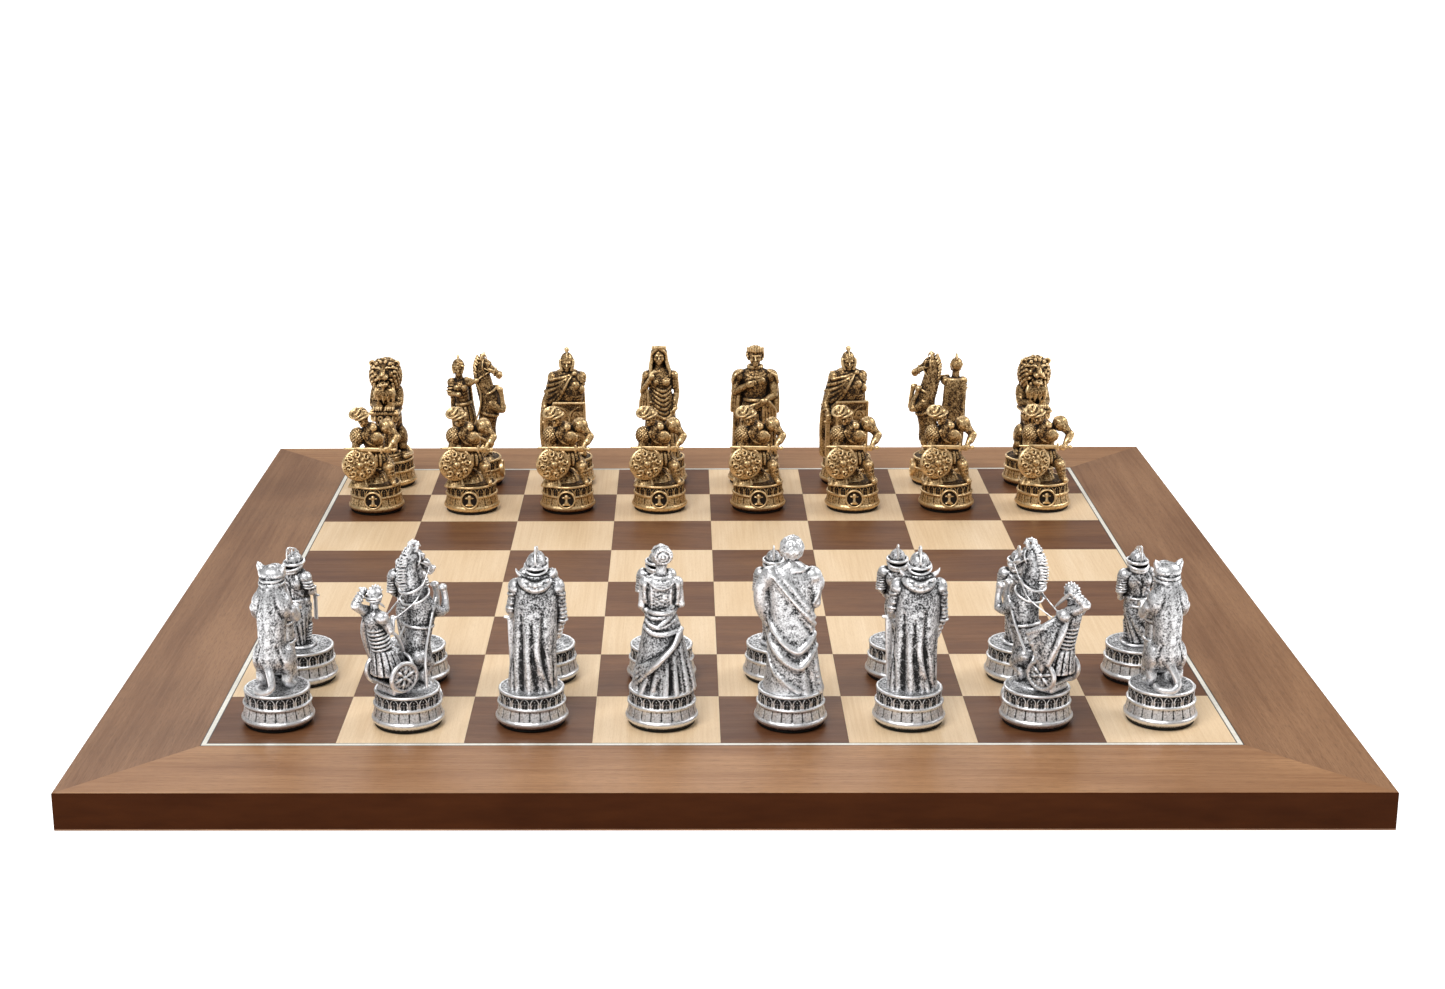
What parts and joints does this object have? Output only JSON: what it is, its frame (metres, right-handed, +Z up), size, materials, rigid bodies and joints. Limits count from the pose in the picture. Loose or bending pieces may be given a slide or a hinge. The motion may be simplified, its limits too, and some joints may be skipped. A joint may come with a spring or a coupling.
{
  "type": "figurative chess set with board",
  "caption": "Inlaid walnut and maple chessboard with cast figurative chessmen, gold-finished against silver-finished, standing on round arcaded plinths.",
  "frame": {"origin": "centre of the board's underside, on the surface the board lies on", "axes": "+Z up; +Y from the silver side to the gold side; +X to the right as the silver side's player sits, from the a file to the h file"},
  "size_m": [0.4966, 0.4966, 0.092],
  "materials": {
    "walnut": "satin lacquered walnut veneer",
    "walnut_dark": "satin lacquered darker walnut veneer",
    "maple": "satin lacquered maple veneer",
    "inlay": "white stringing between two black lines, lacquered flush",
    "edge_stain": "dark brown stained and sealed edge",
    "fibreboard": "raw medium-density fibreboard",
    "antique_gold": "cast resin, antique gold metallic paint with a dark wash",
    "antique_silver": "cast resin, antique silver metallic paint with a dark wash"
  },
  "bodies": {
    "board": {"core_panel": "fibreboard", "backing_veneer": "walnut", "edge_lipping_front": "edge_stain", "edge_lipping_right": "edge_stain", "edge_lipping_back": "edge_stain", "edge_lipping_left": "edge_stain", "border_veneer_front": "walnut", "border_veneer_right": "walnut", "border_veneer_back": "walnut", "border_veneer_left": "walnut", "inlay_strip_front": "inlay", "inlay_strip_right": "inlay", "inlay_strip_back": "inlay", "inlay_strip_left": "inlay", "maple_squares": "maple", "walnut_squares": "walnut_dark"},
    "gold_king": {"gold_king": "antique_gold"},
    "gold_queen": {"gold_queen": "antique_gold"},
    "gold_bishop_c": {"gold_bishop_c": "antique_gold"},
    "gold_bishop_f": {"gold_bishop_f": "antique_gold"},
    "gold_knight_b": {"gold_knight_b": "antique_gold"},
    "gold_knight_g": {"gold_knight_g": "antique_gold"},
    "gold_rook_a": {"gold_rook_a": "antique_gold"},
    "gold_rook_h": {"gold_rook_h": "antique_gold"},
    "gold_pawn_a": {"gold_pawn_a": "antique_gold"},
    "gold_pawn_b": {"gold_pawn_b": "antique_gold"},
    "gold_pawn_c": {"gold_pawn_c": "antique_gold"},
    "gold_pawn_d": {"gold_pawn_d": "antique_gold"},
    "gold_pawn_e": {"gold_pawn_e": "antique_gold"},
    "gold_pawn_f": {"gold_pawn_f": "antique_gold"},
    "gold_pawn_g": {"gold_pawn_g": "antique_gold"},
    "gold_pawn_h": {"gold_pawn_h": "antique_gold"},
    "silver_king": {"silver_king": "antique_silver"},
    "silver_queen": {"silver_queen": "antique_silver"},
    "silver_bishop_c": {"silver_bishop_c": "antique_silver"},
    "silver_bishop_f": {"silver_bishop_f": "antique_silver"},
    "silver_knight_b": {"silver_knight_b": "antique_silver"},
    "silver_knight_g": {"silver_knight_g": "antique_silver"},
    "silver_rook_a": {"silver_rook_a": "antique_silver"},
    "silver_rook_h": {"silver_rook_h": "antique_silver"},
    "silver_pawn_a": {"silver_pawn_a": "antique_silver"},
    "silver_pawn_b": {"silver_pawn_b": "antique_silver"},
    "silver_pawn_c": {"silver_pawn_c": "antique_silver"},
    "silver_pawn_d": {"silver_pawn_d": "antique_silver"},
    "silver_pawn_e": {"silver_pawn_e": "antique_silver"},
    "silver_pawn_f": {"silver_pawn_f": "antique_silver"},
    "silver_pawn_g": {"silver_pawn_g": "antique_silver"},
    "silver_pawn_h": {"silver_pawn_h": "antique_silver"}
  },
  "joints": [
    {"name": "gold_king_lift", "type": "slide", "parent": "board", "child": "gold_king", "axis": [0, 0, 1], "range_m": [0, 0.1]},
    {"name": "gold_queen_lift", "type": "slide", "parent": "board", "child": "gold_queen", "axis": [0, 0, 1], "range_m": [0, 0.1]},
    {"name": "gold_bishop_c_lift", "type": "slide", "parent": "board", "child": "gold_bishop_c", "axis": [0, 0, 1], "range_m": [0, 0.1]},
    {"name": "gold_bishop_f_lift", "type": "slide", "parent": "board", "child": "gold_bishop_f", "axis": [0, 0, 1], "range_m": [0, 0.1]},
    {"name": "gold_knight_b_lift", "type": "slide", "parent": "board", "child": "gold_knight_b", "axis": [0, 0, 1], "range_m": [0, 0.1]},
    {"name": "gold_knight_g_lift", "type": "slide", "parent": "board", "child": "gold_knight_g", "axis": [0, 0, 1], "range_m": [0, 0.1]},
    {"name": "gold_rook_a_lift", "type": "slide", "parent": "board", "child": "gold_rook_a", "axis": [0, 0, 1], "range_m": [0, 0.1]},
    {"name": "gold_rook_h_lift", "type": "slide", "parent": "board", "child": "gold_rook_h", "axis": [0, 0, 1], "range_m": [0, 0.1]},
    {"name": "gold_pawn_a_lift", "type": "slide", "parent": "board", "child": "gold_pawn_a", "axis": [0, 0, 1], "range_m": [0, 0.1]},
    {"name": "gold_pawn_b_lift", "type": "slide", "parent": "board", "child": "gold_pawn_b", "axis": [0, 0, 1], "range_m": [0, 0.1]},
    {"name": "gold_pawn_c_lift", "type": "slide", "parent": "board", "child": "gold_pawn_c", "axis": [0, 0, 1], "range_m": [0, 0.1]},
    {"name": "gold_pawn_d_lift", "type": "slide", "parent": "board", "child": "gold_pawn_d", "axis": [0, 0, 1], "range_m": [0, 0.1]},
    {"name": "gold_pawn_e_lift", "type": "slide", "parent": "board", "child": "gold_pawn_e", "axis": [0, 0, 1], "range_m": [0, 0.1]},
    {"name": "gold_pawn_f_lift", "type": "slide", "parent": "board", "child": "gold_pawn_f", "axis": [0, 0, 1], "range_m": [0, 0.1]},
    {"name": "gold_pawn_g_lift", "type": "slide", "parent": "board", "child": "gold_pawn_g", "axis": [0, 0, 1], "range_m": [0, 0.1]},
    {"name": "gold_pawn_h_lift", "type": "slide", "parent": "board", "child": "gold_pawn_h", "axis": [0, 0, 1], "range_m": [0, 0.1]},
    {"name": "silver_king_lift", "type": "slide", "parent": "board", "child": "silver_king", "axis": [0, 0, 1], "range_m": [0, 0.1]},
    {"name": "silver_queen_lift", "type": "slide", "parent": "board", "child": "silver_queen", "axis": [0, 0, 1], "range_m": [0, 0.1]},
    {"name": "silver_bishop_c_lift", "type": "slide", "parent": "board", "child": "silver_bishop_c", "axis": [0, 0, 1], "range_m": [0, 0.1]},
    {"name": "silver_bishop_f_lift", "type": "slide", "parent": "board", "child": "silver_bishop_f", "axis": [0, 0, 1], "range_m": [0, 0.1]},
    {"name": "silver_knight_b_lift", "type": "slide", "parent": "board", "child": "silver_knight_b", "axis": [0, 0, 1], "range_m": [0, 0.1]},
    {"name": "silver_knight_g_lift", "type": "slide", "parent": "board", "child": "silver_knight_g", "axis": [0, 0, 1], "range_m": [0, 0.1]},
    {"name": "silver_rook_a_lift", "type": "slide", "parent": "board", "child": "silver_rook_a", "axis": [0, 0, 1], "range_m": [0, 0.1]},
    {"name": "silver_rook_h_lift", "type": "slide", "parent": "board", "child": "silver_rook_h", "axis": [0, 0, 1], "range_m": [0, 0.1]},
    {"name": "silver_pawn_a_lift", "type": "slide", "parent": "board", "child": "silver_pawn_a", "axis": [0, 0, 1], "range_m": [0, 0.1]},
    {"name": "silver_pawn_b_lift", "type": "slide", "parent": "board", "child": "silver_pawn_b", "axis": [0, 0, 1], "range_m": [0, 0.1]},
    {"name": "silver_pawn_c_lift", "type": "slide", "parent": "board", "child": "silver_pawn_c", "axis": [0, 0, 1], "range_m": [0, 0.1]},
    {"name": "silver_pawn_d_lift", "type": "slide", "parent": "board", "child": "silver_pawn_d", "axis": [0, 0, 1], "range_m": [0, 0.1]},
    {"name": "silver_pawn_e_lift", "type": "slide", "parent": "board", "child": "silver_pawn_e", "axis": [0, 0, 1], "range_m": [0, 0.1]},
    {"name": "silver_pawn_f_lift", "type": "slide", "parent": "board", "child": "silver_pawn_f", "axis": [0, 0, 1], "range_m": [0, 0.1]},
    {"name": "silver_pawn_g_lift", "type": "slide", "parent": "board", "child": "silver_pawn_g", "axis": [0, 0, 1], "range_m": [0, 0.1]},
    {"name": "silver_pawn_h_lift", "type": "slide", "parent": "board", "child": "silver_pawn_h", "axis": [0, 0, 1], "range_m": [0, 0.1]}
  ]
}
